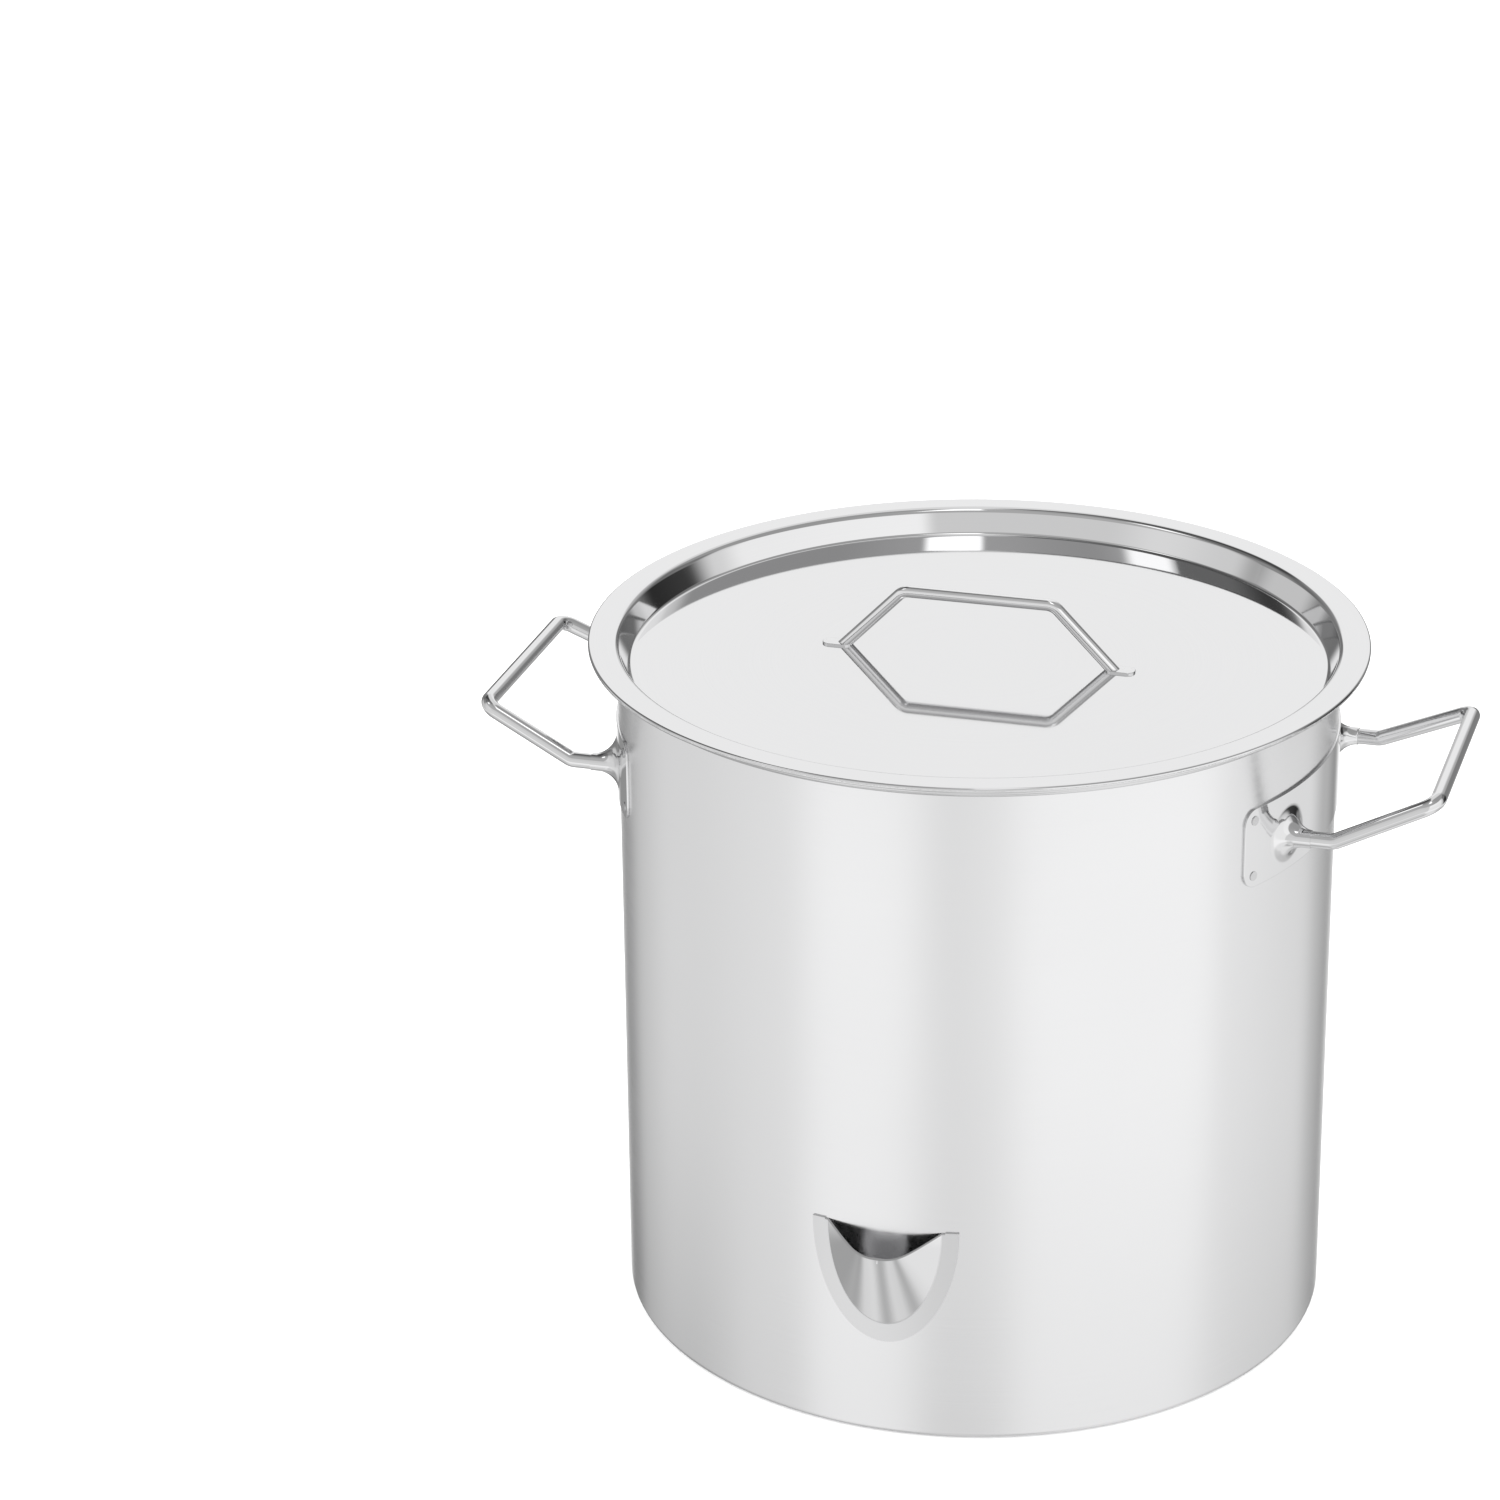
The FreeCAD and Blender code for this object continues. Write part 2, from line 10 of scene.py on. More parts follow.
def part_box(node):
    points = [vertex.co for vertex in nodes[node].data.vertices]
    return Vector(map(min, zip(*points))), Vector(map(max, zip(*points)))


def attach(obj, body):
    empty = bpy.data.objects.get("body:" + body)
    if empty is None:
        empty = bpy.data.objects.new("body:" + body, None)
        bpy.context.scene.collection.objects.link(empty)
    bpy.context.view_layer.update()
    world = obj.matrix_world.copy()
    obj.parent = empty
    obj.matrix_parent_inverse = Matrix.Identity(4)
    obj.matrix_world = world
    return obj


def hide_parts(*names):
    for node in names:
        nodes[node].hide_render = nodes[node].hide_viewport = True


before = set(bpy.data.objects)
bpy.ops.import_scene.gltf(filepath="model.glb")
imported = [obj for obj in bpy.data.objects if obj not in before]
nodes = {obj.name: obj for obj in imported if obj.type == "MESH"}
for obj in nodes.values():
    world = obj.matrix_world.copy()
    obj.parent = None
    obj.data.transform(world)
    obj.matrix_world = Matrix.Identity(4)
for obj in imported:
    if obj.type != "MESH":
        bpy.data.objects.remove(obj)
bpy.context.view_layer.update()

# camera, in metres, degrees and millimetres of lens and sensor
CAMERA_PLACE = (0.5247, -2.1269, 1.2283)
CAMERA_TURN = 16.85
CAMERA_PITCH = 23.13
CAMERA_ROLL = -0.70
CAMERA_LENS = 113.4
CAMERA_SENSOR = 36.0
CAMERA_FAR = 200.0

# sheet metal, in metres, as the frame has it
WALL_SHEET = 0.001
CURL_WIDTH = 0.008
CURL_HEIGHT = 0.0075
CURL_GAP = 0.0016
CURL_INNER_BEND = 0.005
CURL_OUTER_BEND = 0.0029
FOOT_BEND = 0.0025
FOOT_LIP = 0.004
LID_SHEET = 0.0008
LID_MOUTH_RADIUS = 0.180
LID_PANEL_RADIUS = 0.1739
LID_FLANGE_BEND = 0.004
LID_PANEL_BEND = 0.0022
HEM_WIDTH = 0.0042
HEM_HEIGHT = 0.0026
HEM_BEND = 0.0011
CUT_EDGE = 0.00012

# bent round wire, the lid handle's feet and their welds, in metres
LID_WIRE = 0.006
LID_FOOT_REACH = 0.069
LID_BAR_REACH = 0.0385
LID_WIRE_BEND = 0.008
TAB_REACH = 0.07275
TAB_LENGTH = 0.015
TAB_WIDTH = 0.009
TAB_CORNER = 0.004
TAB_SHEET = 0.001
TAB_EDGE = 0.0004
SPOT_CROWN = 0.00012
SIDE_WIRE = 0.008
LEG_REACH = 0.193
LEG_SPREAD = 0.066
LEG_HEIGHT = 0.293
BAR_SPREAD = 0.0598
SIDE_WIRE_BEND = 0.008

# handle plates and their drawn collars, in metres and degrees
FIT_GAP = 0.00005
PLATE_SHEET = 0.0012
PLATE_HALF_ANGLE = 31.15
PLATE_CORNER = 0.008
PLATE_EDGE = 0.00025
COLLAR_MOUTH = 0.1822
COLLAR_LIP = 0.00035
COLLAR_BLEND = 0.011

# front pocket, in metres
BAND_FACE = 0.1812
BAND_EDGE = 0.0003

# vertices closer than this, in metres, are one vertex
SAME_PLACE = 1e-7

# tints of the metals, and how much darker their grain, smudges and matt band are
STEEL = (0.80, 0.80, 0.805)
# the pale tint is also painted on the lid handle's wire, a painted highlight that makes it lighter than its
# feet
PALE_STEEL = (0.93, 0.93, 0.935)
WELD_STEEL = (0.72, 0.72, 0.725)
ALUMINIUM = (0.66, 0.67, 0.68)
GRAIN_SHADE = 0.96
SMUDGE_SHADE = 0.95
BAND_SHADE = 0.90

# roughness of the finishes, and the depth of their grain in metres
WALL_ROUGH = 0.20
WALL_ANISOTROPY = 0.6
INSIDE_ROUGH = (0.34, 0.46)
PAN_ROUGH = 0.28
BASE_ROUGH = 0.24
LID_ROUGH = 0.045
PLATE_ROUGH = 0.07
WIRE_ROUGH = 0.06
WELD_ROUGH = 0.28
CORE_ROUGH = 0.4
BAND_ROUGH = 0.30
SCOOP_ROUGH = 0.07
BRUSHED_DEPTH = 0.000003
BUFFED_DEPTH = 0.0000005
DRAWN_DEPTH = 0.000002
BLASTED_DEPTH = 0.00001

# noise keeps mostly between these two values
NOISE_LOW = 0.3
NOISE_HIGH = 0.7

# noise in cycles per metre, round the axis and across it where the steel is brushed
BRUSH_ALONG = 6.0
BRUSH_ACROSS = 2600.0
SHEET_SMUDGES = 9.0
WIRE_SMUDGES = 24.0
DRAWN_GRAIN = 900.0
BLASTED_GRAIN = 1600.0

# how far brush lines and smudges change the roughness, and the smudges' part in it on sheet
SHEET_WEAR = (0.8, 1.2)
WIRE_WEAR = (0.7, 1.4)
SMUDGE_PART = 0.4

# studio, in metres
WHITE = (1.0, 1.0, 1.0, 1.0)
FLOOR_RADIUS = 40.0
FLOOR_SIDES = 96
FLOOR_GAP = 0.0002
FLOOR_WHITE = (0.92, 0.92, 0.92, 1.0)
FLOOR_ROUGH = 0.9
TENT_RADIUS = 20.0
TENT_SEGMENTS = 64
TENT_RINGS = 32
WORLD_LIGHT = 1.9

# panels of the tent as (degrees round Z, brightness); 0 is +X and -90 is the front
FLOOR_PANELS = (
    (-180, 0.42), (-168, 0.42), (-150, 0.80), (-135, 0.84), (-110, 0.52), (-84, 0.80), (-72, 0.78),
    (-52, 0.52), (-36, 0.85), (-20, 0.95), (20, 0.90), (60, 0.70), (90, 0.60), (130, 0.55), (160, 0.50),
)
BASE_PANELS = (
    (-180, 0.43), (-170, 0.52), (-155, 0.72), (-138, 0.72), (-124, 0.96), (-102, 0.96), (-88, 0.72),
    (-70, 0.74), (-55, 0.93), (-6, 0.93), (9, 0.74), (25, 0.66), (48, 0.62), (60, 0.52), (70, 0.30),
    (84, 0.20), (94, 0.80), (116, 0.80), (124, 0.15), (136, 0.15), (146, 0.34), (160, 0.42),
)
LOW_PANELS = (
    (-180, 0.84), (-140, 0.92), (-124, 1.12), (-102, 1.12), (-84, 0.90), (-72, 0.96), (-58, 1.13),
    (0, 1.13), (12, 0.96), (52, 0.86), (68, 0.52), (80, 0.34), (92, 1.05), (116, 1.05), (124, 0.30),
    (134, 0.32), (146, 0.66), (170, 0.84),
)
HORIZON_PANELS = (
    (-180, 0.64), (-160, 0.80), (-120, 0.80), (-60, 0.75), (-54, 1.00), (6, 1.00), (19, 0.74),
    (32, 0.05), (52, 0.03), (64, 0.25), (86, 0.20), (98, 0.85), (110, 0.85), (118, 0.20), (133, 0.22),
    (146, 0.26), (158, 0.66),
)
HIGH_PANELS = (
    (-180, 0.38), (-168, 0.74), (-140, 0.85), (-120, 0.73), (-62, 0.73), (-55, 1.08), (8, 1.04),
    (20, 0.80), (33, 0.22), (54, 0.18), (72, 0.50), (84, 1.01), (118, 1.01), (128, 0.28), (150, 0.17),
    (168, 0.30),
)
TOP_BACK = (
    (10, 0.38), (66, 0.38), (78, 0.80), (96, 0.85), (114, 0.85), (122, 0.10), (140, 0.06), (160, 0.18),
)
TOP_PANELS = ((-180, 0.30), (-155, 0.50), (-81, 0.48)) + TOP_BACK
SHOULDER_PANELS = ((-180, 0.60), (-176, 1.50), (-162, 1.50), (-155, 0.50), (-81, 0.48)) + TOP_BACK
CROWN_PANELS = (
    (-180, 0.34), (-145, 0.40), (-81, 0.48), (-76, 1.70), (-46, 1.70), (-40, 0.46), (10, 0.38),
    (66, 0.38), (78, 0.80), (96, 0.85), (114, 0.85), (122, 0.20), (140, 0.15), (160, 0.22),
)
ZENITH_PANELS = (
    (-180, 0.60), (-150, 0.60), (-80, 0.85), (-40, 0.95), (60, 0.80), (110, 0.85), (150, 0.65),
)
# above the floor panels: degrees of elevation where each band begins and where it is whole
TENT_BANDS = (
    (-54, -44, BASE_PANELS),
    (-34, -26, LOW_PANELS),
    (-22, -14, HORIZON_PANELS),
    (11, 16, HIGH_PANELS),
    (33, 39, TOP_PANELS),
    (49, 53, SHOULDER_PANELS),
    (62, 66, CROWN_PANELS),
    (81, 87, ZENITH_PANELS),
)


def add_camera():
    data = bpy.data.cameras.new("camera")
    data.lens = CAMERA_LENS
    data.sensor_width = CAMERA_SENSOR
    data.clip_end = CAMERA_FAR
    camera = bpy.data.objects.new("camera", data)
    turn = Matrix.Rotation(math.radians(CAMERA_TURN), 4, "Z")
    pitch = Matrix.Rotation(math.radians(90.0 - CAMERA_PITCH), 4, "X")
    roll = Matrix.Rotation(math.radians(CAMERA_ROLL), 4, "Z")
    camera.matrix_world = Matrix.Translation(CAMERA_PLACE) @ turn @ pitch @ roll
    bpy.context.scene.collection.objects.link(camera)
    bpy.context.scene.camera = camera


# ---- materials ----

def shade(tint, share=1.0):
    """A tint, darkened to a share of itself, as an opaque colour."""
    return tuple(share * part for part in tint) + (1.0,)


class Shader:
    """A material with its Principled shader, and short calls for the nodes that feed it."""

    def __init__(self, name):
        self.material = bpy.data.materials.new(name)
        self.material.use_nodes = True
        self.tree = self.material.node_tree
        self.surface = self.tree.nodes["Principled BSDF"]
        self.output = self.tree.nodes["Material Output"]

    def add(self, kind, **settings):
        made = self.tree.nodes.new(kind)
        for key, value in settings.items():
            setattr(made, key, value)
        return made

    def feed(self, source, target):
        """Links a socket to an input, or sets the input to a plain value."""
        if isinstance(source, bpy.types.NodeSocket):
            self.tree.links.new(source, target)
        else:
            target.default_value = source

    def set(self, **values):
        """Feeds the surface's inputs by their names, written with _ for a space."""
        for name, value in values.items():
            self.feed(value, self.surface.inputs[name.replace("_", " ")])

    def math(self, operation, *values):
        made = self.add("ShaderNodeMath", operation=operation)
        for value, target in zip(values, made.inputs):
            self.feed(value, target)
        return made.outputs[0]

    def mix(self, factor, a, b, kind="FLOAT"):
        """From a to b as the factor goes from 0 to 1; kind RGBA mixes colours."""
        made = self.add("ShaderNodeMix", data_type=kind)
        for name, value in (("Factor", factor), ("A", a), ("B", b)):
            self.feed(value, made.inputs[name])
        return made.outputs["Result"]

    def tint(self, factor, tint, share):
        """A tint that is darkened to a share of itself where the factor is 0."""
        return self.mix(factor, shade(tint, share), shade(tint), "RGBA")

    def span(self, value, low, high, start=0.0, stop=1.0):
        """Moves a value from the range start to stop onto the range low to high."""
        made = self.add("ShaderNodeMapRange", interpolation_type="SMOOTHSTEP")
        self.feed(value, made.inputs["Value"])
        for name, number in (("From Min", start), ("From Max", stop), ("To Min", low), ("To Max", high)):
            self.feed(number, made.inputs[name])
        return made.outputs[0]

    def spread(self, noise, low, high):
        """Moves a noise onto the range low to high."""
        return self.span(noise, low, high, NOISE_LOW, NOISE_HIGH)

    def position(self):
        """The place on the object in metres, as a vector and as x, y, z sockets."""
        place = self.add("ShaderNodeTexCoord").outputs["Object"]
        split = self.add("ShaderNodeSeparateXYZ")
        self.feed(place, split.inputs[0])
        return place, *split.outputs

    def radius(self):
        """The distance from the kettle's axis."""
        _, x, y, _ = self.position()
        return self.math("SQRT", self.math("ADD", self.math("MULTIPLY", x, x), self.math("MULTIPLY", y, y)))

    def noise(self, place, scale, detail, roughness=0.5):
        made = self.add("ShaderNodeTexNoise")
        for name, value in (
                ("Vector", place), ("Scale", scale), ("Detail", detail), ("Roughness", roughness)):
            self.feed(value, made.inputs[name])
        return made.outputs[0]

    def brush_lines(self):
        """Noise that changes slowly round Z and quickly along the height and radius."""
        _, x, y, z = self.position()
        profile = self.math("ADD", z, self.radius())
        lines = self.add("ShaderNodeCombineXYZ")
        for value, scale, target in (
                (x, BRUSH_ALONG, lines.inputs["X"]),
                (y, BRUSH_ALONG, lines.inputs["Y"]),
                (profile, BRUSH_ACROSS, lines.inputs["Z"])):
            self.feed(self.math("MULTIPLY", value, scale), target)
        return self.noise(lines.outputs[0], 1.0, 3.0, 0.6)

    def bump(self, height, distance):
        made = self.add("ShaderNodeBump")
        self.feed(height, made.inputs["Height"])
        self.feed(distance, made.inputs["Distance"])
        self.set(Normal=made.outputs[0])

    def ramp(self, value, stops):
        """A soft ramp of brightness round the tent, through (degrees round Z, brightness) stops."""
        made = self.add("ShaderNodeValToRGB")
        made.color_ramp.interpolation = "EASE"
        elements = made.color_ramp.elements
        while len(elements) > 1:
            elements.remove(elements[-1])
        for number, (degrees, light) in enumerate(stops):
            place = degrees / 360.0 + 0.5
            element = elements[0] if number == 0 else elements.new(place)
            element.position = place
            element.color = shade((light, light, light))
        self.feed(value, made.inputs[0])
        return made.outputs[0]


def brushed_steel(name, tint, roughness, anisotropy, line_depth, matt_within=0.0):
    """Sheet steel brushed round the kettle's axis, duller and paler within a radius."""
    shader = Shader(name)
    lines = shader.brush_lines()
    smudges = shader.noise(shader.position()[0], SHEET_SMUDGES, 3.0)
    worn = shader.mix(SMUDGE_PART, lines, smudges)
    colour = shader.tint(lines, tint, GRAIN_SHADE)
    rough = shader.spread(worn, *[part * roughness for part in SHEET_WEAR])
    if matt_within:
        inner = shader.math("LESS_THAN", shader.radius(), matt_within)
        colour = shader.mix(inner, colour, shader.tint(lines, PALE_STEEL, GRAIN_SHADE), "RGBA")
        rough = shader.mix(inner, rough, shader.spread(worn, *INSIDE_ROUGH))
    shader.set(Metallic=1.0, Anisotropic=anisotropy, Base_Color=colour, Roughness=rough)
    shader.bump(lines, line_depth)
    if anisotropy:
        tangent = shader.add("ShaderNodeTangent", direction_type="RADIAL", axis="Z")
        shader.set(Tangent=tangent.outputs[0])
    return shader.material


def smudge(shader, roughness):
    """Makes the surface bright drawn metal, and returns the noise of its faint smudges."""
    place = shader.position()[0]
    smudges = shader.noise(place, WIRE_SMUDGES, 4.0)
    rough = shader.spread(smudges, *[part * roughness for part in WIRE_WEAR])
    shader.set(Metallic=1.0, Roughness=rough)
    shader.bump(shader.noise(place, DRAWN_GRAIN, 2.0), DRAWN_DEPTH)
    return smudges


def polished_steel(name, tint, roughness):
    """Bright drawn wire and pressed sheet, with faint smudges."""
    shader = Shader(name)
    smudges = smudge(shader, roughness)
    shader.set(Base_Color=shader.tint(smudges, tint, SMUDGE_SHADE))
    return shader.material


def lid_handle_steel_painted_highlight():
    """Wire painted paler than its flattened feet, a painted highlight for the light it catches; the feet
    stay as grey as the lid.
    """
    shader = Shader("lid_handle_steel_painted_highlight")
    smudges = smudge(shader, WIRE_ROUGH)
    feet_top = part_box("lid_handle")[0].z + TAB_SHEET + SPOT_CROWN
    # the wire above the feet takes the pale tint as a painted highlight; the feet keep the plain steel
    wire = shader.span(shader.position()[3], 0.0, 1.0, feet_top, feet_top + TAB_SHEET)
    colours = [shader.tint(smudges, tint, SMUDGE_SHADE) for tint in (STEEL, PALE_STEEL)]
    shader.set(Base_Color=shader.mix(wire, *colours, "RGBA"))
    return shader.material


def pocket_steel():
    """A bright scoop inside a matt band, told apart by how far they stand from the axis."""
    shader = Shader("pocket_steel")
    grain = shader.noise(shader.position()[0], BLASTED_GRAIN, 3.0, 0.7)
    scoop = shader.span(shader.radius(), 0.0, 1.0, BAND_FACE, BAND_FACE + BAND_EDGE)
    shader.set(
        Metallic=1.0,
        Base_Color=shader.tint(scoop, STEEL, BAND_SHADE),
        Roughness=shader.span(scoop, BAND_ROUGH, SCOOP_ROUGH))
    shader.bump(shader.mix(scoop, grain, 0.0), BLASTED_DEPTH)
    return shader.material


# ---- meshes ----

def join_rings(mesh, rings):
    """Smooth faces between each closed ring of vertices and the next."""
    for near, far in zip(rings, rings[1:]):
        for i in range(len(near)):
            mesh.faces.new((near[i - 1], near[i], far[i], far[i - 1])).smooth = True


def sharpen(mesh, ring):
    for i in range(len(ring)):
        mesh.edges.get((ring[i - 1], ring[i])).smooth = False


def close_ring(mesh, ring):
    """A flat face across a ring of vertices, with a sharp edge round it."""
    mesh.faces.new(ring)
    sharpen(mesh, ring)


def quarter_turn(steps):
    """Angles from 0 to 90 degrees, in radians."""
    return [math.pi / 2 * step / steps for step in range(steps + 1)]


def full_turn(sides):
    """Evenly spaced angles once round, in radians."""
    return [2 * math.pi * side / sides for side in range(sides)]


def bisect(function, low=0.0, high=1.0, rounds=40):
    """Where a rising function passes zero."""
    for _ in range(rounds):
        middle = (low + high) / 2
        if function(middle) < 0:
            low = middle
        else:
            high = middle
    return low


def mirrored(points, axis):
    """The points, then the same points on the other side of the middle, in reverse."""
    other = [point.copy() for point in reversed(points)]
    for point in other:
        point[axis] = -point[axis]
    return points + other


def stand_in(name, mesh, body, node):
    """Makes a finished mesh an object that rides on a body and stands for a CAD node."""
    bmesh.ops.remove_doubles(mesh, verts=mesh.verts, dist=SAME_PLACE)
    bmesh.ops.recalc_face_normals(mesh, faces=mesh.faces)
    data = bpy.data.meshes.new(name)
    mesh.to_mesh(data)
    mesh.free()
    piece = bpy.data.objects.new(name, data)
    bpy.context.scene.collection.objects.link(piece)
    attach(piece, body)
    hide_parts(node)
    return piece


def bent_profile(corners, steps=10):
    """A closed profile of radius and height, each corner (x, y, bend) rounded by an arc."""
    points = []
    count = len(corners)
    for number, (x, y, bend) in enumerate(corners):
        corner = Vector((x, y))
        into = (corner - Vector(corners[number - 1][:2])).normalized()
        out = (Vector(corners[(number + 1) % count][:2]) - corner).normalized()
        turn = math.atan2(into.x * out.y - into.y * out.x, into.dot(out))
        setback = bend * math.tan(abs(turn) / 2)
        # a point just before and after each arc keeps the flats beside it flat when shaded smooth
        support = min(setback, HEM_BEND) / 4
        entry = corner - into * setback
        side = Vector((-into.y, into.x)) * math.copysign(bend, turn)
        points.append(entry - into * support)
        for step in range(steps + 1):
            spoke = -side
            spoke.rotate(Matrix.Rotation(turn * step / steps, 2))
            points.append(entry + side + spoke)
        points.append(corner + out * (setback + support))
    return points


def turned_piece(name, body, node, corners, segments=480):
    """A fine round mesh of a sheet profile, standing for the CAD node of the same shape."""
    profile = bent_profile(corners)
    mesh = bmesh.new()
    rings = [
        [
            mesh.verts.new((point.x * math.cos(angle), point.x * math.sin(angle), point.y))
            for point in profile]
        for angle in full_turn(segments)]
    join_rings(mesh, rings + rings[:1])
    return stand_in(name, mesh, body, node)


def bent_line(points, bend, steps=20):
    """Straight runs joined by tangent arcs, as pairs of a place and the way it heads."""
    line = [(points[0], (points[1] - points[0]).normalized())]
    for before, corner, after in zip(points, points[1:], points[2:]):
        into = (corner - before).normalized()
        out = (after - corner).normalized()
        axis = into.cross(out).normalized()
        turn = into.angle(out)
        spoke = axis.cross(into) * bend
        centre = corner - into * bend * math.tan(turn / 2) + spoke
        for step in range(steps + 1):
            part = Matrix.Rotation(turn * step / steps, 3, axis)
            line.append((centre - part @ spoke, part @ into))
    line.append((points[-1], (points[-1] - points[-2]).normalized()))
    return line


def add_wire(mesh, points, bend, diameter, end_plane, sides=40):
    """A round wire through the points, closed at both ends where it meets a plane across them."""
    line = bent_line(points, bend)
    facing = line[0][1]
    across = facing.orthogonal().normalized() * diameter / 2
    rings = []
    for place, heading in line:
        across = facing.rotation_difference(heading) @ across
        facing = heading
        rings.append([
            mesh.verts.new(place + Matrix.Rotation(angle, 3, heading) @ across)
            for angle in full_turn(sides)])
    for ring, (place, heading) in ((rings[0], line[0]), (rings[-1], line[-1])):
        for vertex in ring:
            vertex.co -= heading * (vertex.co - place).dot(end_plane) / heading.dot(end_plane)
        close_ring(mesh, ring)
    join_rings(mesh, rings)


# ---- wall and lid ----

def turned_wall():
    """The wall with its rolled rim and its turned-in foot."""
    reach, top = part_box("kettle_wall")[1].yz
    bottom = top - CURL_HEIGHT
    inside = reach - CURL_WIDTH
    outside = inside + WALL_SHEET
    roll_inside = reach - WALL_SHEET
    lip = outside - FOOT_LIP
    return turned_piece("kettle_wall_sheet", "kettle", "kettle_wall", [
        (lip, 0.0, CUT_EDGE),
        (outside, 0.0, FOOT_BEND),
        (outside, top - WALL_SHEET, CURL_INNER_BEND - WALL_SHEET),
        (roll_inside, top - WALL_SHEET, CURL_OUTER_BEND - WALL_SHEET),
        (roll_inside, bottom + WALL_SHEET, CURL_OUTER_BEND - WALL_SHEET),
        (outside + CURL_GAP, bottom + WALL_SHEET, CUT_EDGE),
        (outside + CURL_GAP, bottom, CUT_EDGE),
        (reach, bottom, CURL_OUTER_BEND),
        (reach, top, CURL_OUTER_BEND),
        (inside, top, CURL_INNER_BEND),
        (inside, WALL_SHEET, FOOT_BEND - WALL_SHEET),
        (lip, WALL_SHEET, CUT_EDGE),
    ])


def turned_lid():
    """The lid's sheet: panel, sloping wall, flange and hemmed edge."""
    reach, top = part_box("lid_pan")[1].yz
    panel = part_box("lid_pan")[0].z + LID_SHEET
    hem = reach - HEM_WIDTH
    run = LID_MOUTH_RADIUS - LID_PANEL_RADIUS
    drop = top - panel
    # the outside corners of a sloping wall of even thickness stand this much further out
    outward = LID_SHEET * (math.hypot(run, drop) - run) / drop
    return turned_piece("lid_sheet", "lid", "lid_pan", [
        (0.0, panel, 0.0),
        (LID_PANEL_RADIUS, panel, LID_PANEL_BEND),
        (LID_MOUTH_RADIUS, top, LID_FLANGE_BEND),
        (reach, top, HEM_BEND),
        (reach, top - HEM_HEIGHT, HEM_BEND),
        (hem, top - HEM_HEIGHT, CUT_EDGE),
        (hem, top - LID_SHEET, CUT_EDGE),
        (LID_MOUTH_RADIUS + outward, top - LID_SHEET, LID_FLANGE_BEND - LID_SHEET),
        (LID_PANEL_RADIUS + outward, panel - LID_SHEET, LID_PANEL_BEND + LID_SHEET),
        (0.0, panel - LID_SHEET, 0.0),
    ])


# ---- handle plates ----

def strap_outline(low, high, half_width, inset, steps=10, columns=60):
    """A plate's outline as pairs of arc length and height: its lower edge, then its upper one."""
    radius = PLATE_CORNER - inset
    run = half_width - PLATE_CORNER
    left = [
        (-run - radius * math.cos(lean), PLATE_CORNER - radius * math.sin(lean))
        for lean in quarter_turn(steps)]
    straight = [(-run + 2 * run * column / columns, inset) for column in range(1, columns)]
    right = [(-along, rise) for along, rise in reversed(left)]
    edge = left + straight + right
    return [(s, low + rise) for s, rise in edge] + [(s, high - rise) for s, rise in reversed(edge)]


def add_strap(mesh, side, low, high, inside, steps=4):
    """A plate bent round the wall, with rounded corners and softened outer edges."""
    outside = inside + PLATE_SHEET
    half_width = math.radians(PLATE_HALF_ANGLE) * outside
    layers = [(inside, 0.0)]
    for lean in quarter_turn(steps):
        layers.append((outside - PLATE_EDGE * (1 - math.sin(lean)), PLATE_EDGE * (1 - math.cos(lean))))
    rings = [
        [
            mesh.verts.new((
                side * radius * math.cos(along / outside), side * radius * math.sin(along / outside), z))
            for along, z in strap_outline(low, high, half_width, inset)]
        for radius, inset in layers]
    join_rings(mesh, rings)
    for ring in (rings[0], rings[-1]):
        for i in range(len(ring) // 2 - 1):
            mesh.faces.new((ring[i], ring[i + 1], ring[-2 - i], ring[-1 - i])).smooth = True
        sharpen(mesh, ring)


def collar_column(axis, around, inside, steps=20):
    """One line of a collar, from the plate's face out to the mouth, and back through the bore."""
    outside = inside + PLATE_SHEET
    bore = SIDE_WIRE / 2 + FIT_GAP
    spoke = Vector((0, math.cos(around), math.sin(around)))
    ball = axis + spoke * (bore + COLLAR_LIP + COLLAR_BLEND)
    ball.x = math.sqrt((outside + COLLAR_BLEND) ** 2 - ball.y ** 2)
    outward = Vector((ball.x, ball.y, 0)).normalized()
    sweep = math.acos(outward.dot(spoke))

    def rolled(part):
        """A place that the ball touches, from the plate at 0 to the collar's side at 1."""
        lean = part * sweep
        return ball - COLLAR_BLEND * (
            outward * math.sin(sweep - lean) + spoke * math.sin(lean)) / math.sin(sweep)

    # where the ball would pass the mouth, the collar stops at it
    last = 1.0
    if ball.x > COLLAR_MOUTH:
        last = bisect(lambda part: rolled(part).x - COLLAR_MOUTH)
    column = [rolled(last * step / steps) for step in range(steps + 1)]
    bored = axis + spoke * bore
    return column + [
        Vector((COLLAR_MOUTH, column[-1].y, column[-1].z)),
        Vector((COLLAR_MOUTH, bored.y, bored.z)),
        Vector((math.sqrt(inside ** 2 - bored.y ** 2), bored.y, bored.z)),
        Vector((outward.x * inside, outward.y * inside, ball.z)),
    ]


def add_collar(mesh, side, axis_y, inside, sides=96):
    """A collar drawn out of the plate round one leg, as a ball rolled between them leaves it."""
    axis = Vector((0, axis_y, LEG_HEIGHT))
    columns = [collar_column(axis, around, inside) for around in full_turn(sides)]
    rings = [
        [mesh.verts.new((side * place.x, side * place.y, place.z)) for place in ring]
        for ring in zip(*columns)]
    join_rings(mesh, rings + rings[:1])
    for ring in [rings[0]] + rings[-4:]:
        sharpen(mesh, ring)


def smooth_plate(name, node, side):
    """A handle plate on side +1 or -1 of X, with a collar for each leg of the handle."""
    low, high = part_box(node)
    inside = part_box("kettle_wall")[1].y - CURL_WIDTH + WALL_SHEET + FIT_GAP
    mesh = bmesh.new()
    add_strap(mesh, side, low.z, high.z, inside)
    for leg in (-1, 1):
        add_collar(mesh, side, leg * LEG_SPREAD, inside)
    return stand_in(name, mesh, "kettle", node)


# ---- wire handles ----

